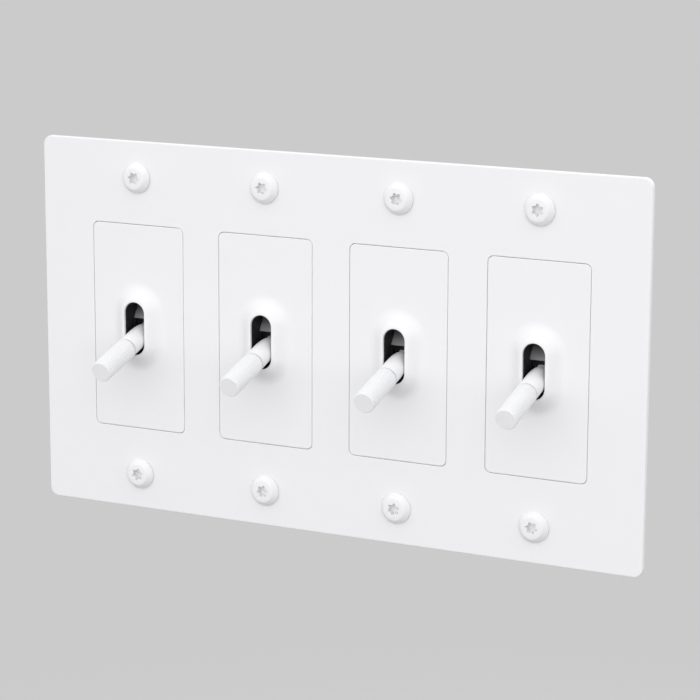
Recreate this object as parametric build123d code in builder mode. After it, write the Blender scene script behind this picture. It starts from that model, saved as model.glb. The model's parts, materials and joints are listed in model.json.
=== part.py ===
from build123d import *
import os
from math import cos, radians, sin, tan

# A four-gang toggle switch on one wall plate, in millimetres.
# X runs along the row of gangs, Y into the wall and Z up, from the centre of the plate's back.
# Every piece of a gang is built once, on the plane X = 0, and copied along the row.
os.makedirs("parts", exist_ok=True)

# Row and wall plate
gang_count = 4
gang_pitch = 46.04
plate_thickness = 1.5
plate_side_margin = 34.94
plate_screw_spacing = 96.8
plate_screw_margin = 11.6
plate_corner_radius = 3.0
plate_edge_chamfer = 0.4
plate_width = (gang_count - 1) * gang_pitch + 2 * plate_side_margin
plate_height = plate_screw_spacing + 2 * plate_screw_margin
gang_centres = [(gang - (gang_count - 1) / 2) * gang_pitch for gang in range(gang_count)]

# Openings in the plate and the inserts that fill them
opening_width = 33.3
opening_height = 66.9
opening_corner_radius = 2.0
insert_gap = 0.18
insert_edge_chamfer = 0.2
insert_width = opening_width - 2 * insert_gap
insert_height = opening_height - 2 * insert_gap
insert_corner_radius = opening_corner_radius - insert_gap

# Raised boss of the insert, whose outlines all stand off the lever's slot
slot_width = 7.3
slot_height = 17.2
boss_height = 3.0
boss_foot_margin = 5.0
boss_flare_height = 0.5
boss_flank_margin = 3.7
boss_shoulder_drop = 1.1
boss_shoulder_margin = 2.3
boss_rim_drop = 0.4
boss_rim_shoulder_margin = 1.5
boss_rim_margin = 0.6
boss_rim_wall = 0.9
cavity_margin = 1.2
boss_profile = [
    (0, boss_foot_margin),
    (boss_flare_height, boss_flank_margin),
    (boss_height - boss_shoulder_drop, boss_shoulder_margin),
    (boss_height - boss_rim_drop, boss_rim_shoulder_margin),
    (boss_height, boss_rim_margin),
]

# Plate screws
plate_screw_radius = 1.75
plate_screw_reach = 8.0
screw_head_radius = 4.95
screw_head_height = 2.1
screw_top_radius = 3.4
screw_rim_height = 0.55
screw_foot_radius = 4.4
recess_radius = 1.95
recess_waist = 1.4
recess_lobes = 6
recess_depth = 1.8
recess_turns = [8, 41, 23, 55, 32, 12, 47, 19]
plate_hole_clearance = 0.35
thread_clearance = 0.03

# Mounting strap of each gang
strap_thickness = 1.2
strap_lap = 2.35
strap_corner_chamfer = 2.0
strap_leg_width = 10.0
strap_leg_hook = 3.0
ear_width = 24.0
ear_overhang = 4.1
box_screw_spacing = 83.34
box_hole_radius = 2.0
strap_width = opening_width + 2 * strap_lap
strap_middle_height = opening_height + 2 * strap_lap
strap_length = plate_screw_spacing + 2 * ear_overhang
strap_hook_height = strap_leg_hook + strap_thickness

# Switch housing behind the strap
housing_width = 28.0
housing_height = 52.0
housing_wall = 2.0
housing_corner_chamfer = 1.2
cover_face = 2.8
throat_clearance = 0.15
throat_opening_margin = 0.25
split_margin = 1.25
cheek_thickness = 2.5
cheek_half_height = 7.0
cheek_overhang = 3.5

# Insert lugs, through the strap beyond the housing
lug_width = 4.0
lug_thickness = 1.6
lug_spacing = 22.0
lug_overhang = 0.8
lug_clearance = 0.05
lug_height = (housing_height + insert_height) / 2

# Lever and the dolly that turns it on a pin, with the lever at its lower stop
pivot_behind_face = 10.0
toggle_tilt = 17.0
barrel_radius = 6.25
barrel_width = 11.5
barrel_clearance = 0.35
pin_radius = 1.5
pin_running_clearance = 0.05
pin_seat_clearance = 0.02
neck_radius = 3.35
neck_stand_off = 0.65
neck_recess_gap = 0.3
neck_recess_depth = 2.0
root_width = 3.6
root_length = 2.0
root_clearance = 0.02
grip_start = 18.7
grip_length = 16.35
grip_radius = 3.45
grip_flutes = 28
grip_flute_depth = 0.2
grip_ring_gap = 0.45
spigot_width = 3.2
spigot_length = 12.0
pivot_depth = pivot_behind_face - plate_thickness
neck_foot = barrel_radius + neck_stand_off
recess_floor = barrel_radius - neck_recess_depth

# Plunger and spring in the dolly's tail
tail_width = 6.5
tail_length = 10.5
plunger_radius = 2.0
plunger_clearance = 0.1
plunger_reach = 13.0
plunger_length = 5.0
spring_floor = 2.6
spring_folds = 5
spring_half_height = 1.3
spring_width = 3.4
spring_strip_height = 0.9
spring_end_gap = 0.05

# Rocking contact, a vee that the plunger tips over on the common terminal
rocker_vee = 15.0
rocker_tilt = 6.0
rocker_thickness = 0.8
rocker_width = 6.0
rocker_span = 8.0
rocker_rib_radius = 1.0
rocker_rib_clearance = 0.1
plunger_gap = 0.45
contact_offset = 6.5
contact_width = 3.0
contact_height = 0.7
contact_gap = 0.12

# Terminals on the housing's sides and their screws
terminal_thickness = 1.6
terminal_leg_width = 5.0
terminal_leg_overhang = 3.2
terminal_pad_height = 8.0
terminal_pad_step = 0.6
terminal_slot_clearance = 0.1
cradle_step = 0.4
post_height = 3.1
post_inset = 0.4
stop_half_height = 1.2
terminal_screw_radius = 1.7
terminal_screw_length = 4.0
terminal_head_radius = 3.25
terminal_head_height = 2.2
terminal_drive_width = 1.0
terminal_drive_depth = 0.9

# Depths into the wall that follow from the sizes above
throat_width = slot_width + 2 * (cavity_margin - throat_clearance)
throat_height = slot_height + 2 * (cavity_margin - throat_clearance)
throat_front = boss_rim_wall + throat_clearance - plate_thickness - boss_height
split_depth = pivot_depth + barrel_radius + split_margin
vee_front = (
    pivot_depth + plunger_reach - plunger_radius
    + (plunger_radius + plunger_gap) / cos(radians(rocker_vee))
)
rocker_depth = vee_front + rocker_thickness / cos(radians(rocker_vee))
flat_angle = radians(rocker_vee - rocker_tilt)
contact_arm = contact_offset / cos(radians(rocker_vee))
common_front = rocker_depth + cradle_step
switched_front = (
    rocker_depth - (contact_arm - contact_width / 2) * sin(flat_angle)
    + contact_height * cos(flat_angle) + contact_gap + contact_height
)
stop_front = rocker_depth - (contact_offset - stop_half_height) * tan(flat_angle) + contact_gap
common_back = common_front + terminal_thickness
switched_back = switched_front + terminal_thickness
floor_depth = max(common_back, switched_back) + post_height
housing_depth = floor_depth + housing_wall
pad_front = split_depth + terminal_pad_step
pad_outside = housing_width / 2 + terminal_thickness
terminal_screw_depth = (pad_front + common_front) / 2
fork_half_width = terminal_screw_radius + thread_clearance
switched_height = -contact_arm * cos(flat_angle)
cheek_inside = barrel_width / 2 + barrel_clearance
cheek_outside = cheek_inside + cheek_thickness


def wall_plane(depth):
    """Plane facing out of the wall at a depth, with X to the right and Z up."""
    return Plane(origin=(0, depth, 0), x_dir=(1, 0, 0), z_dir=(0, -1, 0))


def stadium(margin):
    """Draw an upright stadium that stands off the lever's slot by a margin all round."""
    SlotOverall(slot_height + 2 * margin, slot_width + 2 * margin, rotation=90)


def throat_outline(margin):
    """Draw an upright rectangle with cut corners that stands off the lever's slot by a margin."""
    half_width = slot_width / 2 + margin
    half_height = slot_height / 2 + margin
    corner = half_width * (2 - 2**0.5)
    corners = [(half_width, half_height - corner), (half_width - corner, half_height)]
    right = [(x, -z) for x, z in reversed(corners)] + corners
    Polygon(*right, *[(-x, z) for x, z in reversed(right)], align=None)


def star(outer, inner, points):
    """Corners of a star about the origin, for a fluted grip or a screw's recess."""
    radii = [outer, inner] * points
    return [Vector(radius, 0).rotate(Axis.Z, turn * 180 / points) for turn, radius in enumerate(radii)]


def terminal_sheet(side, front, height):
    """Bend one brass strip from the middle of the housing to a pad outside one of its walls."""
    leg_length = pad_outside + terminal_leg_overhang
    pad_length = front + terminal_thickness - pad_front
    with BuildPart() as sheet:
        with BuildSketch(Plane.XY.offset(height)):
            with Locations((side * (pad_outside - leg_length / 2), front + terminal_thickness / 2)):
                Rectangle(leg_length, terminal_thickness)
        extrude(amount=terminal_leg_width / 2, both=True)
        with BuildSketch(Plane.XY.offset(height)):
            with Locations((side * (pad_outside - terminal_thickness / 2), pad_front + pad_length / 2)):
                Rectangle(terminal_thickness, pad_length)
        extrude(amount=terminal_pad_height / 2, both=True)
        with BuildSketch(Plane.YZ):
            with Locations(((pad_front + terminal_screw_depth) / 2, height)):
                Rectangle(
                    terminal_screw_depth - pad_front + 2 * fork_half_width,
                    2 * fork_half_width,
                )
        extrude(amount=side * pad_outside, mode=Mode.SUBTRACT)
    return sheet.part


def save(shape, name):
    """Label one finished piece or group and write its file."""
    shape.label = name
    export_step(shape, f"parts/{name}.step")


# The lever's plane has its Z along the lever, and its section plane holds length and height
lever_direction = (0, -cos(radians(toggle_tilt)), -sin(radians(toggle_tilt)))
lever_plane = Plane(origin=(0, pivot_depth, 0), x_dir=(1, 0, 0), z_dir=lever_direction)
lever_section = Plane(lever_plane.origin, x_dir=lever_plane.z_dir, z_dir=(1, 0, 0))

# The rocker's plane cuts across the row, with depth and then height, tipped as it rests
rocker_plane = Plane(
    origin=(0, rocker_depth, 0),
    x_dir=(0, cos(radians(rocker_tilt)), -sin(radians(rocker_tilt))),
    z_dir=(1, 0, 0),
)
arm_sine = sin(radians(rocker_vee))
arm_cosine = cos(radians(rocker_vee))
contact_seat = rocker_plane.from_local_coords((-contact_arm * arm_sine, -contact_arm * arm_cosine, 0))
contact_tip = rocker_plane.from_local_coords(
    (-contact_arm * arm_sine + arm_cosine, -contact_arm * arm_cosine - arm_sine, 0)
)
contact_plane = Plane(contact_seat, x_dir=(1, 0, 0), z_dir=contact_tip - contact_seat)

# Wall plate with four openings and eight screw holes
with BuildPart() as faceplate:
    with BuildSketch(wall_plane(0)):
        RectangleRounded(plate_width, plate_height, plate_corner_radius)
    extrude(amount=plate_thickness)
    chamfer(faceplate.faces().sort_by(Axis.Y)[0].edges(), plate_edge_chamfer)
    with BuildSketch(wall_plane(0)):
        with GridLocations(gang_pitch, 0, gang_count, 1):
            RectangleRounded(opening_width, opening_height, opening_corner_radius)
        with GridLocations(gang_pitch, plate_screw_spacing, gang_count, 2):
            Circle(plate_screw_radius + plate_hole_clearance)
    extrude(amount=plate_thickness, mode=Mode.SUBTRACT)

# Face insert with its hollow boss and four lugs
with BuildPart() as face_insert:
    with BuildSketch(wall_plane(0)):
        RectangleRounded(insert_width, insert_height, insert_corner_radius)
    extrude(amount=plate_thickness)
    chamfer(face_insert.faces().sort_by(Axis.Y)[0].edges(), insert_edge_chamfer)
    for height, margin in boss_profile:
        with BuildSketch(wall_plane(-plate_thickness - height)):
            stadium(margin)
    loft(ruled=True)
    with BuildSketch(wall_plane(0)):
        throat_outline(cavity_margin)
    extrude(amount=plate_thickness + boss_height - boss_rim_wall, mode=Mode.SUBTRACT)
    with BuildSketch(wall_plane(0)):
        stadium(0)
    extrude(amount=plate_thickness + boss_height, mode=Mode.SUBTRACT)
    with BuildSketch(wall_plane(0)):
        with GridLocations(lug_spacing, lug_height, 2, 2):
            Rectangle(lug_width, lug_thickness)
    extrude(amount=-strap_thickness - lug_overhang)

# Steel strap with its ears and screw holes, and two legs that hook round the housing
with BuildPart() as mounting_strap:
    with BuildSketch(wall_plane(strap_thickness)) as strap_outline:
        Rectangle(strap_width, strap_middle_height)
        Rectangle(ear_width, strap_length)
        chamfer(strap_outline.vertices().group_by(Axis.Y)[0], strap_corner_chamfer)
        chamfer(strap_outline.vertices().group_by(Axis.Y)[-1], strap_corner_chamfer)
    extrude(amount=strap_thickness)
    with BuildSketch(wall_plane(strap_thickness)):
        Rectangle(throat_width + 2 * throat_clearance, throat_height + 2 * throat_clearance)
        with GridLocations(0, plate_screw_spacing, 1, 2):
            Circle(plate_screw_radius + thread_clearance)
        with GridLocations(0, box_screw_spacing, 1, 2):
            Circle(box_hole_radius)
        with GridLocations(lug_spacing, lug_height, 2, 2):
            Rectangle(lug_width + 2 * lug_clearance, lug_thickness + 2 * lug_clearance)
    extrude(amount=strap_thickness, mode=Mode.SUBTRACT)
    with BuildSketch(wall_plane(strap_thickness)):
        with GridLocations(0, housing_height + strap_thickness, 1, 2):
            Rectangle(strap_leg_width, strap_thickness)
    extrude(amount=-(housing_depth - strap_thickness))
    with BuildSketch(wall_plane(housing_depth)):
        with GridLocations(0, housing_height + 2 * strap_thickness - strap_hook_height, 1, 2):
            Rectangle(strap_leg_width, strap_hook_height)
    extrude(amount=-strap_thickness)

# Front half of the housing, with the throat behind the slot and two cheeks for the pivot pin
with BuildPart() as housing_cover:
    with BuildSketch(wall_plane(split_depth)) as cover_outline:
        Rectangle(housing_width, housing_height)
        chamfer(cover_outline.vertices(), housing_corner_chamfer)
    extrude(amount=split_depth - strap_thickness)
    with BuildSketch(wall_plane(strap_thickness)):
        throat_outline(cavity_margin - throat_clearance)
    extrude(amount=strap_thickness - throat_front)
    with BuildSketch(wall_plane(split_depth)):
        Rectangle(housing_width - 2 * housing_wall, housing_height - 2 * housing_wall)
    extrude(amount=split_depth - strap_thickness - cover_face, mode=Mode.SUBTRACT)
    with BuildSketch(wall_plane(pivot_depth + cheek_overhang)):
        with GridLocations(cheek_inside + cheek_outside, 0, 2, 1):
            Rectangle(cheek_thickness, 2 * cheek_half_height)
    extrude(amount=pivot_depth + cheek_overhang - strap_thickness - cover_face)
    with BuildSketch(Plane.YZ):
        with Locations((pivot_depth, 0)):
            Circle(barrel_radius + barrel_clearance)
    extrude(amount=cheek_inside, both=True, mode=Mode.SUBTRACT)
    with BuildSketch(Plane.YZ):
        with Locations((pivot_depth, 0)):
            Circle(pin_radius + pin_seat_clearance)
    extrude(amount=cheek_outside, both=True, mode=Mode.SUBTRACT)
    with BuildSketch(wall_plane(pivot_depth)):
        throat_outline(throat_opening_margin)
    extrude(amount=pivot_depth - throat_front, mode=Mode.SUBTRACT)

# Back half of the housing, with seats for the terminals and a stop for the rocker
with BuildPart() as housing_base:
    with BuildSketch(wall_plane(split_depth)) as base_outline:
        Rectangle(housing_width, housing_height)
        chamfer(base_outline.vertices(), housing_corner_chamfer)
    extrude(amount=split_depth - housing_depth)
    chamfer(housing_base.faces().sort_by(Axis.Y)[-1].edges(), housing_corner_chamfer / 2)
    with BuildSketch(wall_plane(split_depth)):
        Rectangle(housing_width - 2 * housing_wall, housing_height - 2 * housing_wall)
    extrude(amount=split_depth - floor_depth, mode=Mode.SUBTRACT)
    post_width = terminal_leg_width - 2 * post_inset
    with BuildSketch(wall_plane(floor_depth)):
        Rectangle(rocker_width, post_width)
    extrude(amount=floor_depth - common_back)
    with BuildSketch(wall_plane(floor_depth)):
        with Locations((0, switched_height)):
            Rectangle(rocker_width, post_width)
    extrude(amount=floor_depth - switched_back)
    with BuildSketch(wall_plane(floor_depth)):
        with Locations((0, contact_offset)):
            Rectangle(rocker_width, 2 * stop_half_height)
    extrude(amount=floor_depth - stop_front)
    notch_width = terminal_leg_width + 2 * terminal_slot_clearance
    with BuildSketch(wall_plane(split_depth)):
        with Locations((housing_wall / 2 - housing_width / 2, 0)):
            Rectangle(housing_wall, notch_width)
    extrude(amount=split_depth - common_back, mode=Mode.SUBTRACT)
    with BuildSketch(wall_plane(split_depth)):
        with Locations((housing_width / 2 - housing_wall / 2, switched_height)):
            Rectangle(housing_wall, notch_width)
    extrude(amount=split_depth - switched_back, mode=Mode.SUBTRACT)

# Steel pivot pin across the cheeks
with BuildPart() as pivot_pin:
    with BuildSketch(Plane.YZ):
        with Locations((pivot_depth, 0)):
            Circle(pin_radius)
    extrude(amount=cheek_outside, both=True)

# Dolly: a barrel on the pin, with a square socket for the lever and a bored tail
with BuildPart() as dolly:
    with BuildSketch(Plane.YZ):
        with Locations((pivot_depth, 0)):
            Circle(barrel_radius)
    extrude(amount=barrel_width / 2, both=True)
    with BuildSketch(lever_plane):
        Rectangle(tail_width, tail_width)
    extrude(amount=-tail_length)
    with BuildSketch(Plane.YZ):
        with Locations((pivot_depth, 0)):
            Circle(pin_radius + pin_running_clearance)
    extrude(amount=barrel_width / 2, both=True, mode=Mode.SUBTRACT)
    recess_width = 2 * (neck_radius + neck_recess_gap)
    with BuildSketch(lever_plane.offset(recess_floor)):
        Rectangle(recess_width, recess_width)
    extrude(amount=neck_recess_depth, mode=Mode.SUBTRACT)
    with BuildSketch(lever_plane.offset(recess_floor)):
        Rectangle(root_width + 2 * root_clearance, root_width + 2 * root_clearance)
    extrude(amount=-root_length, mode=Mode.SUBTRACT)
    bore_width = 2 * (plunger_radius + plunger_clearance)
    with BuildSketch(lever_plane.offset(-tail_length)):
        Rectangle(bore_width, bore_width)
    extrude(amount=tail_length - spring_floor, mode=Mode.SUBTRACT)

# Lever: a round neck with a square root in the dolly and a square spigot inside the grip
with BuildPart() as lever:
    neck_length = grip_start - grip_ring_gap - neck_foot
    with BuildSketch(lever_plane.offset(neck_foot)):
        Circle(neck_radius)
    extrude(amount=neck_length)
    with BuildSketch(lever_plane.offset(neck_foot)):
        Rectangle(root_width, root_width)
    extrude(amount=recess_floor - root_length - neck_foot)
    with BuildSketch(lever_plane.offset(neck_foot + neck_length)):
        Rectangle(spigot_width, spigot_width)
    extrude(amount=grip_ring_gap + spigot_length)

# Grip with fine straight flutes, pushed over the lever's spigot
with BuildPart() as lever_grip:
    with BuildSketch(lever_plane.offset(grip_start)):
        with BuildLine():
            Polyline(star(grip_radius, grip_radius - grip_flute_depth, grip_flutes), close=True)
        make_face()
        bore_side = spigot_width + 2 * root_clearance
        Rectangle(bore_side, bore_side, mode=Mode.SUBTRACT)
    extrude(amount=spigot_length)
    with BuildSketch(lever_plane.offset(grip_start + spigot_length)):
        with BuildLine():
            Polyline(star(grip_radius, grip_radius - grip_flute_depth, grip_flutes), close=True)
        make_face()
    extrude(amount=grip_length - spigot_length)

# Round-nosed plunger that runs in the dolly's tail
with BuildPart() as plunger:
    nose_centre = plunger_radius - plunger_reach
    heel_length = plunger_length - plunger_radius
    with BuildSketch(lever_section):
        with Locations((nose_centre, 0)):
            Circle(plunger_radius)
        with Locations((nose_centre + heel_length / 2, 0)):
            Rectangle(heel_length, 2 * plunger_radius)
    extrude(amount=plunger_radius, both=True)

# Folded leaf spring between the tail's floor and the plunger
with BuildPart() as plunger_spring:
    spring_start = plunger_length - plunger_reach + spring_end_gap
    fold_length = (-spring_floor - spring_end_gap - spring_start) / spring_folds
    folds = [
        (spring_start + fold * fold_length, (-1) ** fold * spring_half_height - spring_strip_height / 2)
        for fold in range(spring_folds + 1)
    ]
    with BuildSketch(lever_section):
        Polygon(*folds, *[(x, z + spring_strip_height) for x, z in reversed(folds)], align=None)
    extrude(amount=spring_width / 2, both=True)

# Rocking contact with the rib that it tips on
with BuildPart() as contact_rocker:
    slope = tan(radians(rocker_vee))
    strip = rocker_thickness / cos(radians(rocker_vee))
    with BuildSketch(rocker_plane):
        with BuildLine():
            Polyline(
                (0, rocker_rib_radius),
                (-rocker_rib_radius * slope, rocker_rib_radius),
                (-rocker_span * slope, rocker_span),
                (-rocker_span * slope - strip, rocker_span),
                (-strip, 0),
                (-rocker_span * slope - strip, -rocker_span),
                (-rocker_span * slope, -rocker_span),
                (-rocker_rib_radius * slope, -rocker_rib_radius),
                (0, -rocker_rib_radius),
            )
            ThreePointArc((0, -rocker_rib_radius), (rocker_rib_radius, 0), (0, rocker_rib_radius))
        make_face()
    extrude(amount=rocker_width / 2, both=True)

# Contact button on the rocker's lower arm
with BuildPart() as moving_contact:
    with BuildSketch(contact_plane):
        Rectangle(contact_width, contact_width)
    extrude(amount=contact_height)

# Contact button on the switched terminal
with BuildPart() as fixed_contact:
    with BuildSketch(wall_plane(switched_front)):
        with Locations((0, switched_height)):
            Rectangle(contact_width, contact_width)
    extrude(amount=contact_height)

# Common terminal, with the groove that cradles the rocker's rib
common_sheet = terminal_sheet(-1, common_front, 0)
with BuildPart() as common_terminal:
    add(common_sheet)
    with BuildSketch(Plane.YZ):
        with Locations((rocker_depth, 0)):
            Circle(rocker_rib_radius + rocker_rib_clearance)
    extrude(amount=pad_outside - terminal_thickness - housing_wall, both=True, mode=Mode.SUBTRACT)

# Switched terminal on the other side
switched_sheet = terminal_sheet(1, switched_front, switched_height)
with BuildPart() as switched_terminal:
    add(switched_sheet)

# Wall plate screw with a coned head on a narrower foot and a six-pointed recess
with BuildPart() as plate_screw:
    with BuildSketch(Plane.XY):
        with BuildLine():
            Polyline(
                (0, -screw_head_height),
                (screw_top_radius, -screw_head_height),
                (screw_head_radius, -screw_rim_height),
                (screw_foot_radius, 0),
                (plate_screw_radius, 0),
                (plate_screw_radius, plate_thickness + plate_screw_reach),
                (0, plate_thickness + plate_screw_reach),
                close=True,
            )
        make_face()
    revolve(axis=Axis.Y)
    with BuildSketch(wall_plane(-screw_head_height)):
        with BuildLine():
            Polyline(star(recess_radius, recess_waist, recess_lobes), close=True)
        make_face()
    extrude(amount=-recess_depth, mode=Mode.SUBTRACT)

# Slotted six-sided screw of the terminals, pointing along X
with BuildPart() as binding_screw:
    with BuildSketch(Plane.YZ):
        RegularPolygon(terminal_head_radius, 6)
    extrude(amount=terminal_head_height)
    with BuildSketch(Plane.YZ):
        Circle(terminal_screw_radius)
    extrude(amount=-terminal_screw_length)
    with BuildSketch(Plane.YZ.offset(terminal_head_height)):
        Rectangle(terminal_drive_width, 2 * terminal_head_radius)
    extrude(amount=-terminal_drive_depth, mode=Mode.SUBTRACT)

# The pieces that each gang has one of
gang_pieces = {
    "face_insert": face_insert,
    "mounting_strap": mounting_strap,
    "housing_cover": housing_cover,
    "housing_base": housing_base,
    "dolly": dolly,
    "lever": lever,
    "lever_grip": lever_grip,
    "plunger": plunger,
    "plunger_spring": plunger_spring,
    "contact_rocker": contact_rocker,
    "moving_contact": moving_contact,
    "common_terminal": common_terminal,
    "switched_terminal": switched_terminal,
}
for gang, centre in enumerate(gang_centres, start=1):
    for name, piece in gang_pieces.items():
        save(Pos(centre, 0, 0) * piece.part, f"{name}_{gang}")

# The pieces that the whole switch has one of, and the groups of like fasteners
save(faceplate.part, "faceplate")
screw_rows = [(centre, row * plate_screw_spacing / 2) for row in (1, -1) for centre in gang_centres]
plate_screws = [
    Pos(x, -plate_thickness, z) * Rot(0, turn, 0) * plate_screw.part
    for (x, z), turn in zip(screw_rows, recess_turns)
]
terminal_screws = []
for centre in gang_centres:
    switched_place = Pos(centre + pad_outside, terminal_screw_depth, switched_height)
    common_place = Pos(centre - pad_outside, terminal_screw_depth, 0) * Rot(0, 0, 180)
    terminal_screws += [switched_place * binding_screw.part, common_place * binding_screw.part]
save(Compound(children=plate_screws), "plate_screws")
save(Compound(children=terminal_screws), "terminal_screws")
save(Compound(children=[Pos(x, 0, 0) * pivot_pin.part for x in gang_centres]), "pivot_pins")
save(Compound(children=[Pos(x, 0, 0) * fixed_contact.part for x in gang_centres]), "fixed_contacts")
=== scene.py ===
"""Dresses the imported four-gang toggle switch and stands it on a plain studio stage."""
import functools
import json
import math

import bmesh
import bpy
from mathutils import Matrix, Vector
from mathutils.geometry import interpolate_bezier


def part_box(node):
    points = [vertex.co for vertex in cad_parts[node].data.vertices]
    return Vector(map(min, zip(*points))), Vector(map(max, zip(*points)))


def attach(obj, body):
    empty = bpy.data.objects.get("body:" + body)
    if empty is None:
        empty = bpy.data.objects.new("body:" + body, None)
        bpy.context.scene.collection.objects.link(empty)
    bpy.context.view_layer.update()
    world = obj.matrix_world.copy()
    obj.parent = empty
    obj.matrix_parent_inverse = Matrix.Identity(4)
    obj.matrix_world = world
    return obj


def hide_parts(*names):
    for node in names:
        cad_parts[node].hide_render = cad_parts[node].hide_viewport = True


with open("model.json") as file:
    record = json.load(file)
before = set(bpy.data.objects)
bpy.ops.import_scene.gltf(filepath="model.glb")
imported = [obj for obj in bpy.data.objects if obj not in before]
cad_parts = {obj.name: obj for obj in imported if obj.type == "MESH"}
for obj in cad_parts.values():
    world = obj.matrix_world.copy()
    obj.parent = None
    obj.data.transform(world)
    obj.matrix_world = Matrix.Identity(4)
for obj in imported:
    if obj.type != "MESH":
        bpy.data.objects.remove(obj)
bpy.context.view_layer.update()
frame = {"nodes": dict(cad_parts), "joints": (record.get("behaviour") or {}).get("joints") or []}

bl_info = {
    "name": "Four-gang toggle switch",
    "version": (1, 0, 0),
    "blender": (4, 5, 0),
    "location": "View3D > Sidebar > Switch",
    "description": "Builds the plate, inserts, screws, levers and switch bodies round the packed frame",
    "category": "Object",
}

MM = 0.001
TOGGLES = [joint for joint in frame["joints"] if joint["name"].startswith("toggle")]
GANGS = range(1, len(TOGGLES) + 1)
CENTRES = [joint["pos_m"][0] for joint in TOGGLES]
PIVOT_DEPTH = TOGGLES[0]["pos_m"][1]
TRAVEL = TOGGLES[0]["range_deg"][1]
PLATE_LOW, PLATE_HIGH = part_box("faceplate")
PLATE_FRONT, PLATE_BACK = PLATE_LOW.y, PLATE_HIGH.y
INSERT_LOW, INSERT_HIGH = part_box("face_insert_1")
SHANK_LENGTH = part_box("plate_screws")[1].y - PLATE_FRONT
SHARP = math.radians(35)


def length(name, description, millimetres):
    """A size property in metres, given in millimetres."""
    return bpy.props.FloatProperty(
        name=name, description=description, default=millimetres * MM, unit="LENGTH", precision=5
    )


def angle(name, description, degrees):
    """An angle property in radians, given in degrees."""
    return bpy.props.FloatProperty(
        name=name, description=description, default=math.radians(degrees), subtype="ANGLE"
    )


def count(name, description, value):
    """A whole number property."""
    return bpy.props.IntProperty(name=name, description=description, default=value, min=1)


def colour(name, description, rgb):
    """A colour property."""
    return bpy.props.FloatVectorProperty(
        name=name, description=description, default=rgb, subtype="COLOR", size=3, min=0, max=1
    )


class SwitchSizes(bpy.types.PropertyGroup):
    """Sizes of the pieces that are remade here."""

    plate_corner: length("Plate corner", "Corner radius of the wall plate", 3.0)
    plate_edge: length("Plate edge", "Rounding of the plate's front edge", 0.4)
    opening_corner: length("Opening corner", "Corner radius of the openings", 2.0)
    opening_edge: length("Opening edge", "Rounding of the openings' front edges", 0.12)
    screw_hole: length("Screw hole", "Radius of the plate's screw holes", 2.1)
    screw_spacing: length("Screw spacing", "Height between the two rows of plate screws", 96.8)
    insert_gap: length("Insert gap", "Gap between an insert and its opening", 0.18)
    insert_edge: length("Insert edge", "Rounding of the inserts' front edges", 0.2)
    slot_width: length("Slot width", "Width of the lever's slot", 7.3)
    slot_height: length("Slot height", "Height of the lever's slot", 17.2)
    boss_foot: length("Boss foot", "How far the boss's foot spreads round the slot", 5.9)
    boss_flare: length("Boss flare", "Reach of the hollow curve at the boss's foot", 2.9)
    boss_brow: length("Boss brow", "Reach of the round curve at the boss's top", 1.75)
    boss_rim_round: length("Rim round", "Rounding of the slot's front edge", 0.2)
    boss_rim_wall: length("Rim wall", "Thickness of the wall round the slot", 0.9)
    cavity_margin: length("Cavity margin", "How far the boss's hollow stands off the slot", 1.2)
    lug_width: length("Lug width", "Width of the lugs behind the inserts", 4.0)
    lug_thickness: length("Lug thickness", "Thickness of the lugs", 1.6)
    lug_corner: length("Lug corner", "Corner radius of the lugs", 0.2)
    lug_spacing: length("Lug spacing", "Distance between the lugs of one end", 22.0)
    lug_height: length("Lug height", "Height between the upper and the lower lugs", 59.1)
    head_radius: length("Head radius", "Radius of a plate screw's head", 4.95)
    head_top: length("Head top", "Radius of the flat top of the head", 3.4)
    head_height: length("Head height", "Height of the head", 2.4)
    head_rim: length("Head rim", "Height of the head's widest ring in front of the plate", 0.55)
    head_foot: length("Head foot", "Radius of the head where it meets the plate", 4.4)
    head_swell: length("Head swell", "How far the slope of the head swells", 0.0875)
    recess_radius: length("Recess radius", "Radius over the lobes of the recess", 1.98)
    recess_waist: length("Recess waist", "Radius between the lobes of the recess", 1.38)
    recess_depth: length("Recess depth", "Depth of the recess", 2.1)
    shank_radius: length("Shank radius", "Radius over a plate screw's thread", 1.75)
    thread_pitch: length("Thread pitch", "Pitch of the plate screws' thread", 0.8)
    thread_depth: length("Thread depth", "Depth of the plate screws' thread", 0.4)
    neck_radius: length("Neck radius", "Radius of the lever's neck", 3.35)
    neck_foot: length("Neck foot", "Distance from the pivot to the neck's foot", 6.9)
    neck_foot_radius: length("Neck foot radius", "Radius of the neck's foot", 2.5)
    neck_nose: length("Neck nose", "Length of the rounding from the foot to the full neck", 5.5)
    neck_end: length("Neck end", "Distance from the pivot to the neck's end", 18.25)
    neck_ease: length("Neck ease", "Rounding of the neck's end", 0.15)
    # The band is painted shade: black on the dolly where the lever goes in, standing for the shadow
    # there.
    band_width: length("Band width", "Width of the dark band where the lever goes in", 7.3)
    root_width: length("Root width", "Width of the lever's square root", 3.6)
    root_end: length("Root end", "Distance from the pivot to the end of the root", 2.25)
    spigot_width: length("Spigot width", "Width of the square spigot inside the grip", 3.2)
    spigot_play: length("Spigot play", "Gap between the spigot's end and the grip's bore", 0.15)
    square_corner: length("Square corner", "Corner radius of the root and the spigot", 0.3)
    grip_start: length("Grip start", "Distance from the pivot to the grip", 18.7)
    grip_length: length("Grip length", "Length of the grip", 16.35)
    grip_radius: length("Grip radius", "Radius over the grip's ridges", 3.45)
    grip_chamfer: length("Grip chamfer", "Chamfer of the grip's two ends", 0.3)
    grip_bore: length("Grip bore", "Depth of the grip's bore", 12.0)
    flute_count: count("Flutes", "Number of flutes round a grip", 28)
    flute_depth: length("Flute depth", "Depth of the flutes", 0.15)
    moulded_ease: length("Moulded ease", "Rounding of moulded edges", 0.22)
    sheet_ease: length("Sheet ease", "Rounding of stamped sheet edges", 0.12)
    lever_tilt: angle("Lever tilt", "How far the levers point down at rest", TRAVEL / 2)


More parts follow.
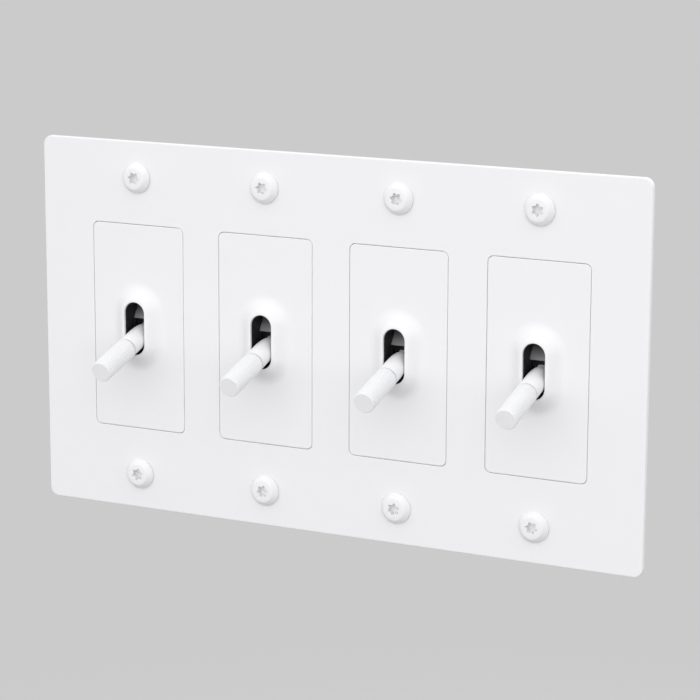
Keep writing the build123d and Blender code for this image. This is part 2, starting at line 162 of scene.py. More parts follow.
class SwitchColours(bpy.types.PropertyGroup):
    """Colours of the finishes and of the stage."""

    paint: colour("Paint", "White satin paint", (0.87, 0.87, 0.88))
    dark_plastic: colour("Dark plastic", "Moulded black plastic", (0.018, 0.018, 0.019))
    dolly_plastic: colour("Dolly plastic", "Smooth grey plastic", (0.36, 0.36, 0.37))
    natural_plastic: colour("Natural plastic", "Undyed plastic of the plungers", (0.72, 0.7, 0.64))
    zinc: colour("Zinc", "Zinc plated steel", (0.62, 0.62, 0.64))
    brass: colour("Brass", "Rolled brass", (0.78, 0.58, 0.28))
    contact: colour("Contact metal", "Bright contact metal", (0.82, 0.82, 0.8))
    backdrop: colour("Backdrop", "Floor and background", (0.597, 0.597, 0.597))


def sizes():
    """The size properties of the scene."""
    return bpy.context.scene.switch_sizes


def colours():
    """The colour properties of the scene."""
    return bpy.context.scene.switch_colours


def feed(node, **inputs):
    """Set a node's inputs to values or to other nodes' outputs, by name or as i and a place."""
    for name, value in inputs.items():
        place = name[1:]
        socket = node.inputs[int(place) if place.isdigit() else name.replace("_", " ")]
        if isinstance(value, bpy.types.NodeSocket):
            node.id_data.links.new(value, socket)
        else:
            socket.default_value = value


def node_maker(tree):
    """A function that adds a node of a kind to a tree, with its settings and inputs."""

    def add(kind, settings=None, **inputs):
        node = tree.nodes.new(kind)
        for name, value in (settings or {}).items():
            setattr(node, name, value)
        feed(node, **inputs)
        return node

    return add


def worked_out(add, operation, *values):
    """The result of a Math node."""
    inputs = {f"i{place}": value for place, value in enumerate(values)}
    return add("ShaderNodeMath", {"operation": operation}, **inputs).outputs["Value"]


def blend(add, share, low, high):
    """A colour between two others, by a share."""
    mixed = add("ShaderNodeMix", {"data_type": "RGBA"}, Factor=share, A=low, B=high)
    return mixed.outputs["Result"]


def surface(name, rgb, rough, drift, grain, relief, metallic=0.0, streak=(1, 1, 1), specular=0.5):
    """A finish with drifting colour, uneven gloss and a fine grain.

    rough holds the lowest and the highest roughness, and drift is the share that the colour
    wanders by. grain is the size of the grain's marks and relief is their depth, in metres.
    A streak below one draws the marks out along that axis.
    """
    material = bpy.data.materials.new(name)
    material.use_nodes = True
    add = node_maker(material.node_tree)
    place = add("ShaderNodeTexCoord").outputs["Object"]
    stretched = add("ShaderNodeMapping", Vector=place, Scale=streak).outputs["Vector"]

    def noise(fineness, detail):
        """Noise as fine as the grain at a fineness of one."""
        node = add("ShaderNodeTexNoise", Vector=stretched, Scale=fineness / grain, Detail=detail)
        return node.outputs["Fac"]

    tint = blend(
        add, noise(fineness=0.06, detail=3.0),
        [channel * (1 - drift) for channel in rgb] + [1],
        [min(1.0, channel * (1 + drift)) for channel in rgb] + [1],
    )
    gloss = add(
        "ShaderNodeMapRange", Value=noise(fineness=0.35, detail=4.0),
        From_Min=0.3, From_Max=0.7, To_Min=rough[0], To_Max=rough[1],
    )
    marks = noise(fineness=1, detail=2.0)
    bump = add("ShaderNodeBump", Strength=1.0, Distance=relief, Height=marks)
    feed(
        material.node_tree.nodes["Principled BSDF"], Base_Color=tint, Metallic=metallic,
        Roughness=gloss.outputs["Result"], Normal=bump.outputs["Normal"], Specular_IOR_Level=specular,
    )
    return material


def dark_band(material):
    """Paint shade onto a dolly's barrel: a black band where the lever goes in, standing for the shadow
    there.
    """
    half, blur = sizes().band_width / 2, 0.1 * MM
    add = node_maker(material.node_tree)
    shader = material.node_tree.nodes["Principled BSDF"]
    plain = shader.inputs["Base Color"].links[0].from_socket
    place = add("ShaderNodeTexCoord").outputs["Object"]
    centred = add("ShaderNodeMapping", Vector=place, Location=(0, -PIVOT_DEPTH, 0))
    turned = add(
        "ShaderNodeMapping", Vector=centred.outputs["Vector"], Rotation=(-sizes().lever_tilt, 0, 0)
    )
    height = add("ShaderNodeSeparateXYZ", Vector=turned.outputs["Vector"]).outputs["Z"]
    off_middle = worked_out(add, "ABSOLUTE", height)
    outside = add("ShaderNodeMapRange", Value=off_middle, From_Min=half, From_Max=half + blur)
    # Inside the band the plastic is painted black, as shade where the lever goes in.
    black = [*colours().dark_plastic, 1]
    feed(shader, Base_Color=blend(add, outside.outputs["Result"], black, plain))
    return material


def made_once(finish):
    """Make a finish when it is first asked for, under its function's name."""

    @functools.wraps(finish)
    def found():
        name = finish.__name__
        return bpy.data.materials.get(name) or finish(name)

    return found


@made_once
def satin_paint(name):
    """White paint of the plate, the inserts, the plate screws and the necks."""
    return surface(
        name, colours().paint, rough=(0.46, 0.56), drift=0.008,
        grain=0.5 * MM, relief=0.003 * MM, specular=0.35,
    )


@made_once
def grip_paint_fluted(name):
    """The same paint on the grips, a little more uneven."""
    return surface(
        name, colours().paint, rough=(0.46, 0.56), drift=0.01,
        grain=0.4 * MM, relief=0.003 * MM, specular=0.35,
    )


@made_once
def moulded_black(name):
    """Textured black plastic of the housings."""
    return surface(
        name, colours().dark_plastic, rough=(0.42, 0.6), drift=0.12,
        grain=0.35 * MM, relief=0.012 * MM,
    )


@made_once
def smooth_grey(name):
    """Smooth grey plastic of the dollies, with a band of painted shade where the lever goes in."""
    return dark_band(surface(
        name, colours().dolly_plastic, rough=(0.34, 0.48), drift=0.06,
        grain=0.6 * MM, relief=0.003 * MM,
    ))


@made_once
def natural_moulding(name):
    """Undyed plastic of the plungers."""
    return surface(
        name, colours().natural_plastic, rough=(0.35, 0.5), drift=0.03,
        grain=0.5 * MM, relief=0.005 * MM,
    )


@made_once
def zinc_plate(name):
    """Zinc plated sheet of the straps, rolled along their height."""
    return surface(
        name, colours().zinc, rough=(0.28, 0.45), drift=0.06,
        grain=0.5 * MM, relief=0.004 * MM, metallic=1, streak=(1, 1, 0.12),
    )


@made_once
def rolled_brass(name):
    """Brass of the terminals, their screws and the rockers."""
    return surface(
        name, colours().brass, rough=(0.22, 0.4), drift=0.07,
        grain=0.4 * MM, relief=0.004 * MM, metallic=1, streak=(0.15, 1, 1),
    )


@made_once
def ground_steel(name):
    """Bright steel of the pivot pins and the springs."""
    return surface(
        name, colours().zinc, rough=(0.2, 0.34), drift=0.04,
        grain=0.3 * MM, relief=0.003 * MM, metallic=1, streak=(0.1, 1, 1),
    )


@made_once
def bright_contact(name):
    """Bright metal of the contact buttons."""
    return surface(
        name, colours().contact, rough=(0.18, 0.3), drift=0.03,
        grain=0.4 * MM, relief=0.002 * MM, metallic=1,
    )


def rounded_rectangle(width, height, radius, offset=0.0, steps=8):
    """Points (x, z), anticlockwise, that stand off an upright rectangle with round corners."""
    reach = radius + offset
    points = []
    for corner, (side, end) in enumerate(((1, 1), (-1, 1), (-1, -1), (1, -1))):
        for step in range(steps + 1):
            turn = math.radians(90 * (corner + step / steps))
            points.append((
                side * (width / 2 - radius) + reach * math.cos(turn),
                end * (height / 2 - radius) + reach * math.sin(turn),
            ))
    return points


def opening(offset):
    """Points (x, z) that stand off one of the plate's openings, a gap wider than its insert."""
    gap = sizes().insert_gap
    width = INSERT_HIGH.x - INSERT_LOW.x + 2 * gap
    height = INSERT_HIGH.z - INSERT_LOW.z + 2 * gap
    return rounded_rectangle(width, height, sizes().opening_corner, offset)


def stadium(margin, cut_corners=False, steps=32):
    """Points (x, z) that stand off the lever's slot, with round ends or ends of three flats."""
    radius = sizes().slot_width / 2 + margin
    centre = (sizes().slot_height - sizes().slot_width) / 2
    eighth = math.pi / 4
    points = []
    for end, start in ((1, 0), (-1, math.pi)):
        for step in range(steps + 1):
            turn = start + math.pi * step / steps
            off_flat = (turn + eighth / 2) % eighth - eighth / 2
            reach = radius / math.cos(off_flat) if cut_corners else radius
            points.append((reach * math.cos(turn), end * centre + reach * math.sin(turn)))
    return points


def circle(radius, steps=40):
    """Points (x, z) of a circle."""
    turns = [2 * math.pi * step / steps for step in range(steps)]
    return [(radius * math.cos(turn), radius * math.sin(turn)) for turn in turns]


def quarter_round(depth, radius, steps=4):
    """Pairs of depth and inset along a rounded front edge that starts on the side wall."""
    turns = [math.radians(90 * step / steps) for step in range(steps + 1)]
    return [
        (depth + radius - radius * math.sin(turn), radius - radius * math.cos(turn)) for turn in turns
    ]


def wall(edge, steps=4):
    """Pairs of depth and inset along a wall from the plate's back to a rounded front edge."""
    return [(PLATE_BACK, 0), *quarter_round(PLATE_FRONT, edge, steps)]


def moved(points, x, z):
    """The points shifted along the plate."""
    return [(px + x, pz + z) for px, pz in points]


class Shell:
    """A closed mesh in the making, from bands between rings and flat fills between them."""

    def __init__(self):
        self.mesh = bmesh.new()
        self.flats = {}
        self.flat_faces = set()

    def band(self, rings, start, end):
        """Join rings of equal length, each (points, depth), and note the flats at the two ends."""
        loops = [
            [self.mesh.verts.new((x, depth, z)) for x, z in points] for points, depth in rings
        ]
        join_rings(self.mesh, loops)
        for flat, loop in ((start, loops[0]), (end, loops[-1])):
            self.flats.setdefault(flat, []).append(loop)

    def fill(self):
        """Fill every flat between the loops that were noted for it."""
        for loops in self.flats.values():
            edges = []
            for loop in loops:
                for pair in zip(loop, loop[1:] + loop[:1]):
                    edges.append(self.mesh.edges.get(pair) or self.mesh.edges.new(pair))
            made = bmesh.ops.triangle_fill(self.mesh, use_beauty=True, edges=edges)["geom"]
            self.flat_faces.update(item for item in made if isinstance(item, bmesh.types.BMFace))

    def done(self, name):
        """The finished mesh, with its normals outwards and sharp edges round its flats."""
        self.fill()
        bmesh.ops.recalc_face_normals(self.mesh, faces=self.mesh.faces)
        for edge in self.mesh.edges:
            on_flat = [face in self.flat_faces for face in edge.link_faces]
            round_flat = any(on_flat) and not all(on_flat)
            edge.smooth = not round_flat and edge.calc_face_angle(0) <= SHARP
        return to_mesh(self.mesh, name)


def join_rings(shape, rings):
    """Add the faces between rings of equally many vertices."""
    for first, second in zip(rings, rings[1:]):
        for here in range(len(first)):
            there = (here + 1) % len(first)
            shape.faces.new((first[here], first[there], second[there], second[here]))


def to_mesh(source, name):
    """A plain mesh with smooth faces from a bmesh, which is freed."""
    mesh = bpy.data.meshes.new(name)
    for face in source.faces:
        face.smooth = True
    source.to_mesh(mesh)
    source.free()
    return mesh


def lathe(name, profile, around):
    """Turn a profile of (radius, height) about Z and close its two ends.

    A point may hold a third item, a function that says what comes off the radius there at a
    height and a turn.
    """
    shape = bmesh.new()
    rings = []
    for radius, height, *cuts in profile:
        ring = []
        for step in range(around):
            turn = 2 * math.pi * step / around
            reach = radius - sum(cut(height, turn) for cut in cuts)
            ring.append(shape.verts.new((reach * math.cos(turn), reach * math.sin(turn), height)))
        rings.append(ring)
    join_rings(shape, rings)
    shape.faces.new(rings[0])
    shape.faces.new(rings[-1])
    bmesh.ops.recalc_face_normals(shape, faces=shape.faces)
    for edge in shape.edges:
        edge.smooth = edge.calc_face_angle(0) < SHARP
    return to_mesh(shape, name)


def piece(name, mesh, material, body, slot, *nodes):
    """Put a mesh into the scene as a piece that rides a body and stands for some nodes."""
    made = bpy.data.objects.new(name, mesh)
    bpy.context.scene.collection.objects.link(made)
    mesh.materials.clear()
    mesh.materials.append(material)
    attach(made, body)
    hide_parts(*nodes)


def in_every_gang(name, mesh, material, body, slot):
    """Copy the first gang's mesh along the row, as the piece that stands for each gang's node."""
    for gang, centre in zip(GANGS, CENTRES):
        copy = mesh.copy()
        copy.transform(Matrix.Translation((centre - CENTRES[0], 0, 0)))
        piece(f"{name}_piece_{gang}", copy, material, body.format(gang), slot, f"{name}_{gang}")
    bpy.data.meshes.remove(mesh)


def eased(node, ease):
    """A copy of a node's mesh with its facets joined and its sharp edges rounded.

    Shading is smooth along the roundings and over shallow bends, and flat faces stay flat.
    """
    merged, level = 0.002 * MM, math.radians(0.5)
    corner, shortest = math.radians(30), 2.5 * ease
    shallow, steep = math.radians(25), math.radians(60)
    shape = bmesh.new()
    shape.from_mesh(frame["nodes"][node].data)
    bmesh.ops.remove_doubles(shape, verts=shape.verts, dist=merged)
    bmesh.ops.dissolve_limit(shape, angle_limit=level, verts=shape.verts, edges=shape.edges)
    rounded = set()
    if ease:
        corners = [
            edge for edge in shape.edges
            if edge.calc_face_angle(0) > corner and edge.calc_length() > shortest
        ]
        rounded.update(bmesh.ops.bevel(
            shape, geom=corners, offset=ease, offset_type="OFFSET", segments=2,
            profile=0.5, affect="EDGES", clamp_overlap=True,
        )["faces"])
    for edge in shape.edges:
        sides = [face in rounded for face in edge.link_faces]
        beside_rounding = any(sides) and not all(sides)
        limit = steep if all(sides) else shallow
        edge.smooth = not beside_rounding and edge.calc_face_angle(0) < limit
    return to_mesh(shape, f"{node}_eased")


def keep(node, material):
    """Give a node of the frame its finish."""
    frame["nodes"][node].data.materials.clear()
    frame["nodes"][node].data.materials.append(material)


def applied(mesh, tree, inputs):
    """The plain mesh that a Geometry Nodes tree makes of a mesh, with the tree's inputs by name."""
    holder = bpy.data.objects.new("holder", mesh)
    bpy.context.scene.collection.objects.link(holder)
    modifier = holder.modifiers.new("nodes", "NODES")
    modifier.node_group = tree
    for item in tree.interface.items_tree:
        if item.in_out == "INPUT" and item.name in inputs:
            modifier[item.identifier] = inputs[item.name]
    holder.update_tag()
    evaluated = holder.evaluated_get(bpy.context.evaluated_depsgraph_get())
    result = bpy.data.meshes.new_from_object(evaluated)
    bpy.data.objects.remove(holder)
    bpy.data.meshes.remove(mesh)
    return result


def tree_with(name, sockets):
    """A Geometry Nodes tree with named inputs, its input node's outputs and an adder of nodes."""
    tree = bpy.data.node_groups.new(name, "GeometryNodeTree")
    tree.interface.new_socket("Geometry", in_out="INPUT", socket_type="NodeSocketGeometry")
    for label, kind in sockets.items():
        tree.interface.new_socket(label, in_out="INPUT", socket_type=f"NodeSocket{kind}")
    tree.interface.new_socket("Geometry", in_out="OUTPUT", socket_type="NodeSocketGeometry")
    add = node_maker(tree)
    return tree, add("NodeGroupInput").outputs, add


def end_tree(add, geometry, material):
    """Make instances real, give them their finish and pass them to the tree's output."""
    real = add("GeometryNodeRealizeInstances", Geometry=geometry).outputs["Geometry"]
    painted = add("GeometryNodeSetMaterial", Geometry=real, Material=material).outputs["Geometry"]
    add("NodeGroupOutput", Geometry=painted)


def rows_tree():
    """A tree that sets copies of a mesh in rows across the plate, each turned by chance about Y."""
    tree, given, add = tree_with("screws_in_rows", {
        "Columns": "Int",
        "Rows": "Int",
        "Width": "Float",
        "Height": "Float",
        "Largest turn": "Float",
        "Seed": "Int",
        "Finish": "Material",
    })
    grid = add(
        "GeometryNodeMeshGrid", Size_X=given["Width"], Size_Y=given["Height"],
        Vertices_X=given["Columns"], Vertices_Y=given["Rows"],
    )
    upright = add("GeometryNodeTransform", Geometry=grid.outputs["Mesh"], Rotation=(math.pi / 2, 0, 0))
    turn = add(
        "FunctionNodeRandomValue", {"data_type": "FLOAT"}, Max=given["Largest turn"], Seed=given["Seed"]
    )
    spin = add("ShaderNodeCombineXYZ", Y=turn.outputs["Value"])
    copies = add(
        "GeometryNodeInstanceOnPoints", Points=upright.outputs["Geometry"],
        Instance=given["Geometry"], Rotation=spin.outputs["Vector"],
    )
    end_tree(add, copies.outputs["Instances"], given["Finish"])
    return tree


def flutes_tree():
    """A tree that presses straight flutes into the outside of a turned mesh, along Z."""
    outside_share = 0.9
    tree, given, add = tree_with("grip_flutes", {
        "Flutes": "Int",
        "Depth": "Float",
        "Ridge radius": "Float",
        "Finish": "Material",
    })
    place = add("GeometryNodeInputPosition").outputs["Position"]
    axes = add("ShaderNodeSeparateXYZ", Vector=place).outputs
    flat = add("ShaderNodeCombineXYZ", X=axes["X"], Y=axes["Y"]).outputs["Vector"]
    radius = add("ShaderNodeVectorMath", {"operation": "LENGTH"}, Vector=flat).outputs["Value"]
    turn = worked_out(add, "ARCTAN2", axes["Y"], axes["X"])
    half_flutes = worked_out(add, "MULTIPLY", given["Flutes"], 0.5)
    wave = worked_out(add, "SINE", worked_out(add, "MULTIPLY", turn, half_flutes))
    groove = worked_out(add, "SUBTRACT", 1.0, worked_out(add, "ABSOLUTE", wave))
    dip = worked_out(add, "MULTIPLY", groove, given["Depth"])
    inward = worked_out(add, "MULTIPLY", worked_out(add, "DIVIDE", dip, given["Ridge radius"]), -1.0)
    offset = add("ShaderNodeVectorMath", {"operation": "SCALE"}, Vector=flat, Scale=inward)
    limit = worked_out(add, "MULTIPLY", given["Ridge radius"], outside_share)
    outside = add("FunctionNodeCompare", {"operation": "GREATER_THAN"}, A=radius, B=limit)
    pressed = add(
        "GeometryNodeSetPosition", Geometry=given["Geometry"],
        Selection=outside.outputs["Result"], Offset=offset.outputs["Vector"],
    )
    end_tree(add, pressed.outputs["Geometry"], given["Finish"])
    return tree


class SWITCH_OT_faceplate(bpy.types.Operator):
    """Build the wall plate with its four openings and eight screw holes"""

    bl_idname = "switch.faceplate"
    bl_label = "Wall plate"

    def execute(self, context):
        size = sizes()
        width = PLATE_HIGH.x - PLATE_LOW.x
        height = PLATE_HIGH.z - PLATE_LOW.z
        shell = Shell()
        outline = [
            (rounded_rectangle(width, height, size.plate_corner, -inset, steps=10), depth)
            for depth, inset in wall(size.plate_edge)
        ]
        shell.band(outline, "back", "front")
        inner_wall = wall(size.opening_edge, steps=3)
        for centre in CENTRES:
            hollow = [(moved(opening(inset), centre, 0), depth) for depth, inset in inner_wall]
            shell.band(hollow, "back", "front")
            for row in (-size.screw_spacing / 2, size.screw_spacing / 2):
                hole = [
                    (moved(circle(size.screw_hole + inset), centre, row), depth)
                    for depth, inset in inner_wall
                ]
                shell.band(hole, "back", "front")
        mesh = shell.done("faceplate_piece")
        piece("faceplate_piece", mesh, satin_paint(), "wall_unit", "plate_paint", "faceplate")
        return {"FINISHED"}


def boss_profile(steps=16):
    """Pairs of depth and margin up the boss: one curve from its flared foot, then its rounded rim."""
    size = sizes()
    top, rim = INSERT_LOW.y, size.boss_rim_round
    flank = interpolate_bezier(
        Vector((PLATE_FRONT, size.boss_foot)),
        Vector((PLATE_FRONT, size.boss_foot - size.boss_flare)),
        Vector((top, rim + size.boss_brow)),
        Vector((top, rim)),
        steps,
    )
    return [*flank, *reversed(quarter_round(top, rim)[:-1])]


class SWITCH_OT_inserts(bpy.types.Operator):
    """Build the face inserts with their hollow bosses and lugs"""

    bl_idname = "switch.inserts"
    bl_label = "Face inserts"

    def execute(self, context):
        size = sizes()
        shell = Shell()
        outline = [
            (opening(-size.insert_gap - inset), depth)
            for depth, inset in wall(size.insert_edge, steps=3)
        ]
        shell.band(outline, "back", "front")
        roof = INSERT_LOW.y + size.boss_rim_wall
        cavity = stadium(size.cavity_margin, cut_corners=True)
        boss = [(stadium(margin), depth) for depth, margin in boss_profile()]
        boss += [(stadium(0), roof), (cavity, roof), (cavity, PLATE_BACK)]
        shell.band(boss, "front", "back")
        lug = rounded_rectangle(size.lug_width, size.lug_thickness, size.lug_corner, steps=2)
        for side in (-1, 1):
            for end in (-1, 1):
                place = moved(lug, side * size.lug_spacing / 2, end * size.lug_height / 2)
                shell.band([(place, PLATE_BACK), (place, INSERT_HIGH.y)], "back", f"lug {side} {end}")
        mesh = shell.done("face_insert")
        mesh.transform(Matrix.Translation((CENTRES[0], 0, 0)))
        in_every_gang("face_insert", mesh, satin_paint(), "wall_unit", "insert_paint")
        return {"FINISHED"}


def thread(height, turn):
    """How far a plate screw's thread is cut in at a height and a turn."""
    phase = (height / sizes().thread_pitch - turn / (2 * math.pi)) % 1
    return sizes().thread_depth * abs(2 * phase - 1)


def lobes(height, turn, number=6):
    """How far the wall of a plate screw's recess stands in at a turn, whatever the height."""
    deepest = sizes().recess_radius - sizes().recess_waist
    return deepest * (1 - math.cos(number * turn)) / 2


class SWITCH_OT_plate_screws(bpy.types.Operator):
    """Build one plate screw with a lobed recess and a thread, and set eight of them in two rows"""

    bl_idname = "switch.plate_screws"
    bl_label = "Plate screws"

    def execute(self, context):
        size = sizes()
        screw = lathe("plate_screw", self.shank(size) + self.head(size) + self.recess(size), around=72)
        screw.transform(Matrix.Translation((0, PLATE_FRONT, 0)) @ Matrix.Rotation(math.pi / 2, 4, "X"))
        mesh = applied(screw, rows_tree(), {
            "Columns": len(CENTRES),
            "Rows": 2,
            "Width": CENTRES[-1] - CENTRES[0],
            "Height": size.screw_spacing,
            "Largest turn": math.pi / 3,
            "Seed": 4,
            "Finish": satin_paint(),
        })
        piece("plate_screws_piece", mesh, satin_paint(), "wall_unit", "screw_paint", "plate_screws")
        return {"FINISHED"}

    def shank(self, size):
        """The profile from the tip along the thread to the head."""
        unthreaded, tip_inset, head_inset = 0.5 * MM, 0.55 * MM, 0.2 * MM
        rings_a_turn = 6
        steps = int(SHANK_LENGTH / size.thread_pitch * rings_a_turn)
        threaded = SHANK_LENGTH - 2 * unthreaded
        crests = [
            (size.shank_radius, -unthreaded - threaded * (steps - step) / steps, thread)
            for step in range(steps + 1)
        ]
        tip = (size.shank_radius - tip_inset, -SHANK_LENGTH)
        return [tip, *crests, (size.shank_radius - head_inset, 0)]

    def head(self, size):
        """The profile from the head's foot round its rim and up its slope to the flat top."""
        rim_inset, rim_drop, top_inset = 0.08 * MM, 0.1 * MM, 0.1 * MM
        slope_shares = (0, 0.06, 0.15, 0.3, 0.45, 0.6, 0.75, 0.88, 0.96)
        points = [(size.head_foot, 0), (size.head_radius - rim_inset, size.head_rim - rim_drop)]
        for share in slope_shares:
            swell = 4 * size.head_swell * share * (1 - share)
            points.append((
                size.head_radius + (size.head_top - size.head_radius) * share + swell,
                size.head_rim + (size.head_height - size.head_rim) * share + swell,
            ))
        return [*points, (size.head_top - top_inset, size.head_height)]

    def recess(self, size):
        """The profile from the recess's eased mouth down its tapered wall to a shallow cone."""
        mouth, mouth_drop, taper = 0.1 * MM, 0.08 * MM, 0.12 * MM
        cone_radius, cone_depth = 0.3 * MM, 0.25 * MM
        radius, top = size.recess_radius, size.head_height
        bottom = top - size.recess_depth
        return [
            (radius + mouth, top, lobes),
            (radius, top - mouth_drop, lobes),
            (radius - taper, bottom, lobes),
            (cone_radius, bottom - cone_depth),
        ]


def lever_frame():
    """The matrix that lays -Y along the first gang's lever, from its pivot."""
    turned = Matrix.Rotation(sizes().lever_tilt, 4, "X")
    return Matrix.Translation((CENTRES[0], PIVOT_DEPTH, 0)) @ turned


class SWITCH_OT_levers(bpy.types.Operator):
    """Build the lever necks and their fluted grips"""

    bl_idname = "switch.levers"
    bl_label = "Levers"

    def execute(self, context):
        neck = self.neck(sizes())
        neck.transform(lever_frame())
        in_every_gang("lever", neck, satin_paint(), "toggle_{}", "lever_paint")
        grip = self.grip(sizes())
        grip.transform(lever_frame() @ Matrix.Rotation(math.pi / 2, 4, "X"))
        in_every_gang("lever_grip", grip, grip_paint_fluted(), "toggle_{}", "grip_paint")
        return {"FINISHED"}

    def neck(self, size, around=64, nose_steps=8):
        """A round neck with an elliptic nose, between a square root and a square spigot."""
        swell = size.neck_radius - size.neck_foot_radius
        rings = []
        for step in range(nose_steps + 1):
            turn = math.radians(90 * step / nose_steps)
            along = size.neck_foot + size.neck_nose * (1 - math.cos(turn))
            rings.append((circle(size.neck_foot_radius + swell * math.sin(turn), around), -along))
        for depth, inset in quarter_round(-size.neck_end, size.neck_ease, steps=2):
            rings.append((circle(size.neck_radius - inset, around), depth))
        root = rounded_rectangle(size.root_width, size.root_width, size.square_corner, steps=2)
        spigot = rounded_rectangle(size.spigot_width, size.spigot_width, size.square_corner, steps=2)
        spigot_end = size.grip_start + size.grip_bore - size.spigot_play
        shell = Shell()
        shell.band([(root, -size.root_end), (root, -size.neck_foot)], "root", "foot")
        shell.band(rings, "foot", "end")
        shell.band([(spigot, -size.neck_end), (spigot, -spigot_end)], "end", "spigot")
        return shell.done("lever")

    def grip(self, size, points_a_flute=8):
        """A fluted grip along Z, with a bore that takes the spigot over its corners."""
        start, end = size.grip_start, size.grip_start + size.grip_length
        rim, chamfer = size.grip_radius, size.grip_chamfer
        bore = size.spigot_width / math.sqrt(2)
        profile = [
            (bore, start + size.grip_bore),
            (bore, start),
            (rim - chamfer, start),
            (rim, start + chamfer),
            (rim, end - chamfer),
            (rim - chamfer, end),
        ]
        turned = lathe("lever_grip", profile, size.flute_count * points_a_flute)
        return applied(turned, flutes_tree(), {
            "Flutes": size.flute_count,
            "Depth": size.flute_depth,
            "Ridge radius": rim,
            "Finish": grip_paint_fluted(),
        })


class SWITCH_OT_bodies(bpy.types.Operator):
    """Round the edges of the housings and give them and the dollies their plastics"""

    bl_idname = "switch.bodies"
    bl_label = "Housings and dollies"

    def execute(self, context):
        for name in ("housing_cover", "housing_base"):
            mesh = eased(f"{name}_1", sizes().moulded_ease)
            in_every_gang(name, mesh, moulded_black(), "wall_unit", "housing_plastic")
        # The dollies' finish has a band of painted shade where the lever goes in.
        in_every_gang("dolly", eased("dolly_1", 0), smooth_grey(), "toggle_{}", "dolly_plastic")
        return {"FINISHED"}


class SWITCH_OT_metalwork(bpy.types.Operator):
    """Round the edges of the straps, terminals and terminal screws, and give them their metals"""

    bl_idname = "switch.metalwork"
    bl_label = "Straps and terminals"

    def execute(self, context):
        ease = sizes().sheet_ease
        strap = eased("mounting_strap_1", ease)
        in_every_gang("mounting_strap", strap, zinc_plate(), "wall_unit", "strap_steel")
        for name in ("common_terminal", "switched_terminal"):
            mesh = eased(f"{name}_1", ease)
            in_every_gang(name, mesh, rolled_brass(), "wall_unit", "terminal_brass")
        screws = eased("terminal_screws", ease)
        piece("terminal_screws_piece", screws, rolled_brass(), "wall_unit", "terminal_screw_brass",
              "terminal_screws")
        return {"FINISHED"}


class SWITCH_OT_mechanism(bpy.types.Operator):
    """Give the pins, plungers, springs, rockers and contacts inside the housings their finishes"""

    bl_idname = "switch.mechanism"
    bl_label = "Mechanism"

    def execute(self, context):
        keep("pivot_pins", ground_steel())
        keep("fixed_contacts", bright_contact())
        for gang in GANGS:
            keep(f"plunger_{gang}", natural_moulding())
            keep(f"plunger_spring_{gang}", ground_steel())
            keep(f"contact_rocker_{gang}", rolled_brass())
            keep(f"moving_contact_{gang}", bright_contact())
        return {"FINISHED"}


def area_light(name, place, side, power):
    """A soft square lamp that points at the origin."""
    data = bpy.data.lights.new(name, "AREA")
    data.shape = "SQUARE"
    data.size = side
    data.energy = power
    lamp = bpy.data.objects.new(name, data)
    lamp.location = place
    lamp.rotation_euler = (-Vector(place)).to_track_quat("-Z", "Y").to_euler()
    bpy.context.scene.collection.objects.link(lamp)


def seen_directly(add):
    """One where a surface is seen by the camera, in a reflection or through glass."""
    path = add("ShaderNodeLightPath").outputs
    plain_or_mirrored = worked_out(add, "MAXIMUM", path["Is Camera Ray"], path["Is Glossy Ray"])
    return worked_out(add, "MAXIMUM", plain_or_mirrored, path["Is Transmission Ray"])


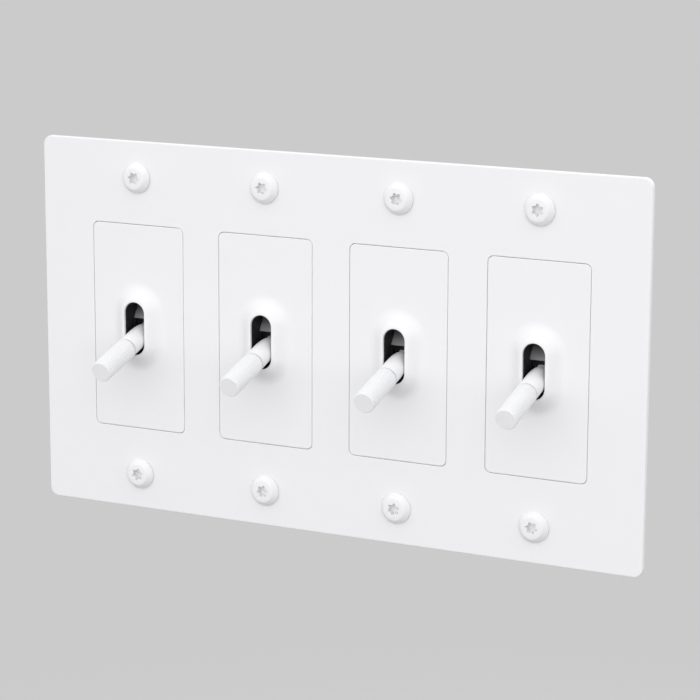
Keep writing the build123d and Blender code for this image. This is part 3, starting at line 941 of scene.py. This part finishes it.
class SWITCH_OT_stage(bpy.types.Operator):
    """Set up the plain background, the floor, the lamps and the camera"""

    bl_idname = "switch.stage"
    bl_label = "Studio stage"

    def execute(self, context):
        context.scene.view_settings.view_transform = "Standard"
        self.background(context.scene)
        self.floor(context.scene)
        area_light("key", place=(0.5, -0.7, 1.1), side=1.4, power=1.6)
        area_light("front", place=(0.2, -1.35, 0.25), side=2.0, power=11.7)
        area_light("rear", place=(0.3, 0.9, 0.7), side=0.8, power=5.0)
        self.camera(context.scene)
        return {"FINISHED"}

    def background(self, scene):
        """A soft light from all round, with the backdrop's plain shade where it is seen itself."""
        scene.world = scene.world or bpy.data.worlds.new("studio")
        scene.world.use_nodes = True
        tree = scene.world.node_tree
        add = node_maker(tree)
        light = tree.nodes["Background"]
        feed(light, Color=(0.985, 0.985, 1.0, 1), Strength=0.94)
        plain = add("ShaderNodeBackground", Color=(*colours().backdrop, 1), Strength=1.0)
        seen = seen_directly(add)
        mixed = add("ShaderNodeMixShader", Fac=seen, i1=light.outputs[0], i2=plain.outputs[0])
        feed(tree.nodes["World Output"], Surface=mixed.outputs[0])

    def floor(self, scene):
        """A wide floor that keeps the shadow under the switch and fades into the background.

        Where it isn't seen itself it is darker, so that little light comes back from below.
        """
        reach, drop = 6.0, -0.25
        mesh = bpy.data.meshes.new("floor")
        corners = [(x * reach, y * reach, drop) for x, y in ((-1, -1), (1, -1), (1, 1), (-1, 1))]
        mesh.from_pydata(corners, [], [(0, 1, 2, 3)])
        mesh.materials.append(self.pale_floor())
        floor = bpy.data.objects.new("floor", mesh)
        scene.collection.objects.link(floor)

    def pale_floor(self):
        """The floor's material."""
        fade_start, fade_end = 0.3, 0.55
        unseen_share, seen_share = 0.55, 0.84
        material = bpy.data.materials.new("pale_floor")
        material.use_nodes = True
        tree = material.node_tree
        add = node_maker(tree)
        place = add("ShaderNodeTexCoord").outputs["Object"]
        away = add("ShaderNodeVectorMath", {"operation": "LENGTH"}, Vector=place)
        far = add(
            "ShaderNodeMapRange", {"interpolation_type": "SMOOTHSTEP"},
            Value=away.outputs["Value"], From_Min=fade_start, From_Max=fade_end,
        )
        seen = seen_directly(add)
        share = worked_out(add, "MULTIPLY", far.outputs["Result"], seen)
        unseen_shade, seen_shade = (
            [channel * part for channel in colours().backdrop] + [1]
            for part in (unseen_share, seen_share)
        )
        shader = tree.nodes["Principled BSDF"]
        feed(shader, Base_Color=blend(add, seen, unseen_shade, seen_shade), Roughness=0.8)
        plain = add("ShaderNodeEmission", Color=(*colours().backdrop, 1), Strength=1.0)
        mixed = add("ShaderNodeMixShader", Fac=share, i1=shader.outputs[0], i2=plain.outputs[0])
        feed(tree.nodes["Material Output"], Surface=mixed.outputs[0])
        return material

    def camera(self, scene):
        """A long lens from the right and a little above, as the photograph was taken."""
        yaw, pitch, roll = math.radians(26.47), math.radians(12.03), math.radians(0.23)
        distance = 0.798
        aim = Vector((6.74 * MM, PLATE_FRONT, -0.01 * MM))
        level = math.cos(pitch)
        away = Vector((math.sin(yaw) * level, -math.cos(yaw) * level, math.sin(pitch)))
        data = bpy.data.cameras.new("camera")
        data.sensor_width = 36
        data.lens = 133.0
        data.clip_start = 0.05
        facing = (-away).to_track_quat("-Z", "Y").to_matrix().to_4x4()
        camera = bpy.data.objects.new("camera", data)
        camera.matrix_world = (
            Matrix.Translation(aim + distance * away) @ facing @ Matrix.Rotation(roll, 4, "Z")
        )
        scene.collection.objects.link(camera)
        scene.camera = camera


class SWITCH_PT_pieces(bpy.types.Panel):
    """Buttons that build the switch piece by piece"""

    bl_idname = "SWITCH_PT_pieces"
    bl_label = "Four-gang toggle switch"
    bl_space_type = "VIEW_3D"
    bl_region_type = "UI"
    bl_category = "Switch"

    def draw(self, context):
        for operator in OPERATORS:
            self.layout.operator(operator.bl_idname)
        for group in (context.scene.switch_sizes, context.scene.switch_colours):
            box = self.layout.box()
            for name in group.__annotations__:
                box.prop(group, name)


OPERATORS = (
    SWITCH_OT_faceplate,
    SWITCH_OT_inserts,
    SWITCH_OT_plate_screws,
    SWITCH_OT_levers,
    SWITCH_OT_bodies,
    SWITCH_OT_metalwork,
    SWITCH_OT_mechanism,
    SWITCH_OT_stage,
)
CLASSES = (SwitchSizes, SwitchColours, *OPERATORS, SWITCH_PT_pieces)


def register():
    for item in CLASSES:
        bpy.utils.register_class(item)
    bpy.types.Scene.switch_sizes = bpy.props.PointerProperty(type=SwitchSizes)
    bpy.types.Scene.switch_colours = bpy.props.PointerProperty(type=SwitchColours)


def unregister():
    del bpy.types.Scene.switch_colours
    del bpy.types.Scene.switch_sizes
    for item in reversed(CLASSES):
        bpy.utils.unregister_class(item)


def main():
    register()
    bpy.ops.switch.faceplate()
    bpy.ops.switch.inserts()
    bpy.ops.switch.plate_screws()
    bpy.ops.switch.levers()
    bpy.ops.switch.bodies()
    bpy.ops.switch.metalwork()
    bpy.ops.switch.mechanism()
    bpy.ops.switch.stage()


if __name__ == "__main__":
    main()
